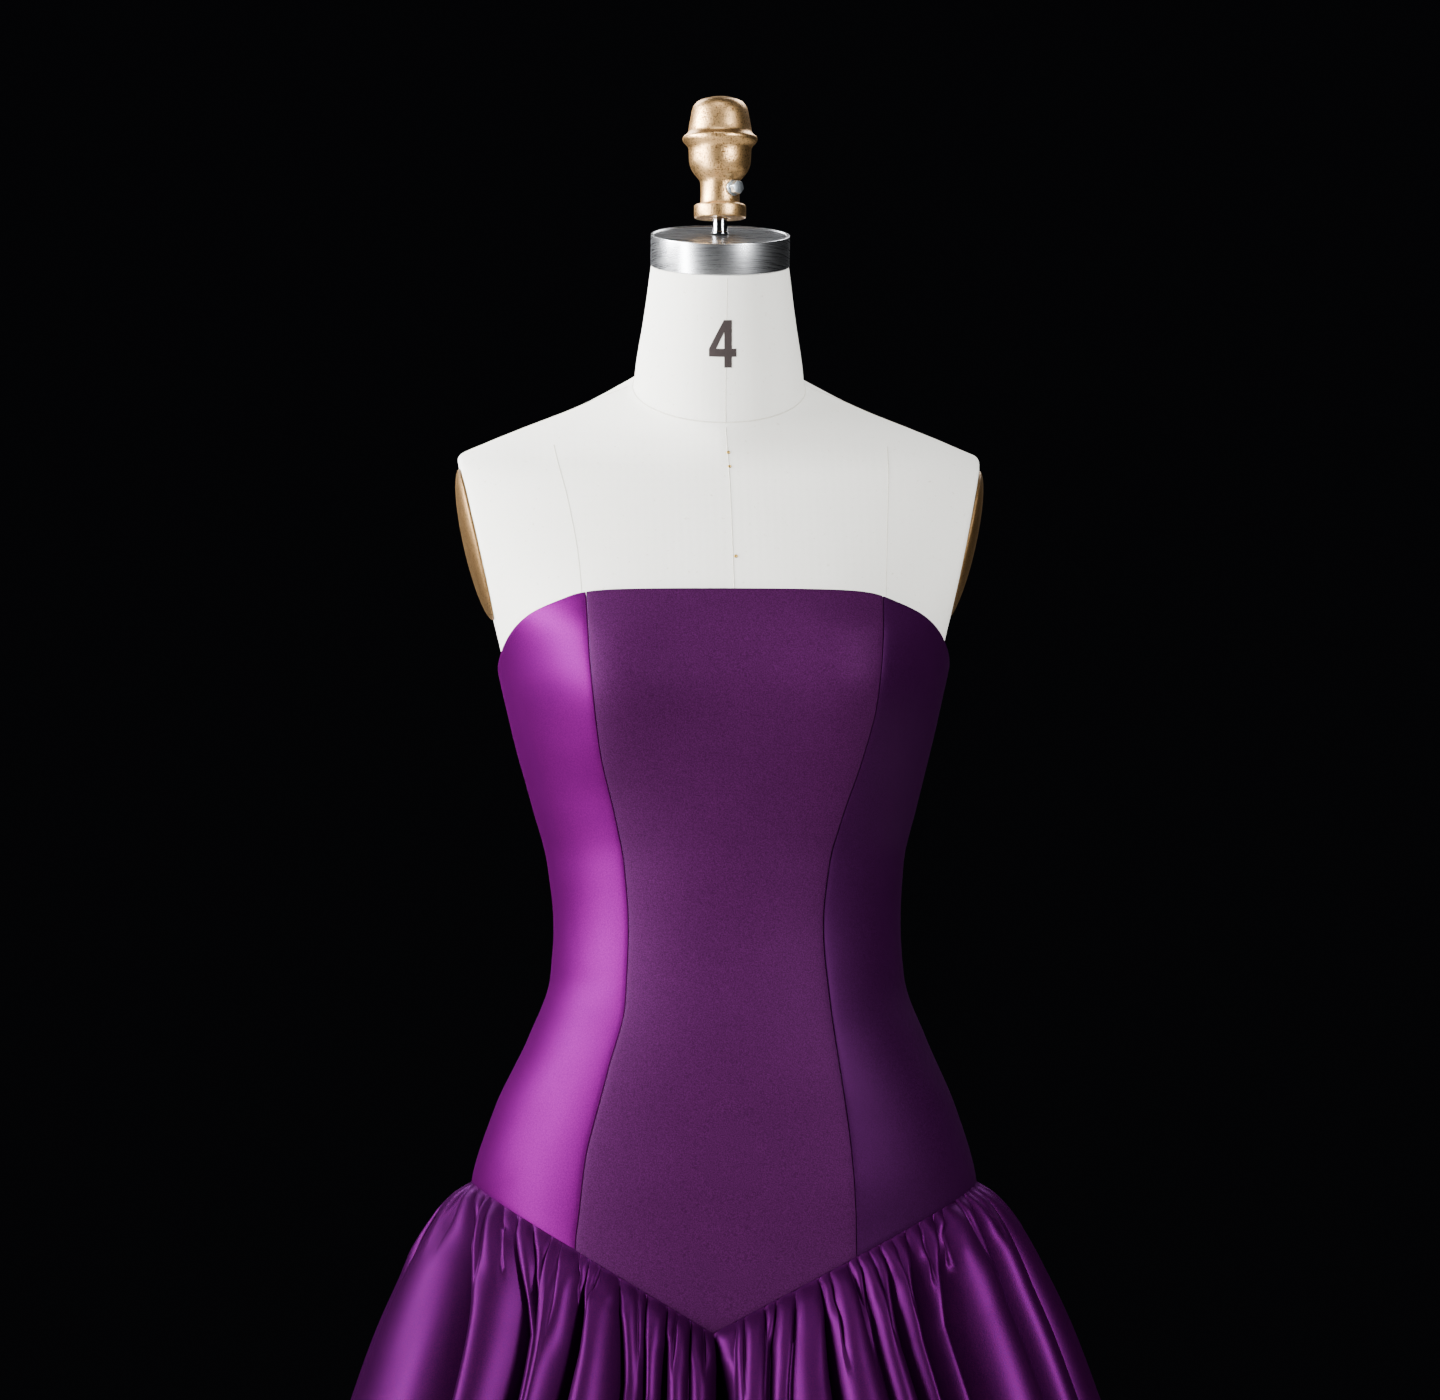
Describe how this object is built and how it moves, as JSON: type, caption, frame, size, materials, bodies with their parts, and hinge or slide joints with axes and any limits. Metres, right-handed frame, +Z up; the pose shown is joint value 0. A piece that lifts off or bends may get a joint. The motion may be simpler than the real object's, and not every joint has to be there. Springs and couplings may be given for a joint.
{
  "type": "a-line evening dress on a dress form",
  "caption": "Strapless satin evening dress with princess seams, a pointed dropped waist and a gathered floor-length skirt, worn by a limbless dress form on a round stand.",
  "frame": {"origin": "centre of the stand base's underside, on the floor", "axes": "+Z up, -Y towards the front of the dress, +X towards the wearer's left"},
  "size_m": [0.9911, 0.9512, 1.6281],
  "materials": {
    "violet_satin": "heavy lustrous satin",
    "natural_canvas": "plain woven canvas",
    "cast_bronze_paint": "metallic gold paint over cast metal",
    "brushed_steel": "brushed",
    "black_cast_iron": "satin enamel",
    "violet_lacquered_zip": "dyed to match the satin"
  },
  "bodies": {
    "dressed_form": {"bodice_front": "violet_satin", "bodice_side_front_left": "violet_satin", "bodice_side_front_right": "violet_satin", "bodice_side_back_left": "violet_satin", "bodice_side_back_right": "violet_satin", "bodice_back_left": "violet_satin", "bodice_back_right": "violet_satin", "skirt_front": "violet_satin", "skirt_back": "violet_satin", "form_torso": "natural_canvas", "arm_plate_left": "cast_bronze_paint", "arm_plate_right": "cast_bronze_paint", "knob": "cast_bronze_paint", "neck_cap": "brushed_steel", "neck_stem": "brushed_steel", "knob_screw": "brushed_steel", "form_flange": "brushed_steel", "stand_pole": "brushed_steel", "stand_socket": "black_cast_iron", "stand_base": "black_cast_iron", "zip_slider": "violet_lacquered_zip"},
    "zip_pull": {"zip_pull": "violet_lacquered_zip"}
  },
  "joints": [
    {"name": "pull_swing", "type": "hinge", "parent": "dressed_form", "child": "zip_pull", "pos_m": [0.002, 0.10758, 1.19969], "axis": [1, 0, 0], "range_deg": [-8, 150]}
  ]
}
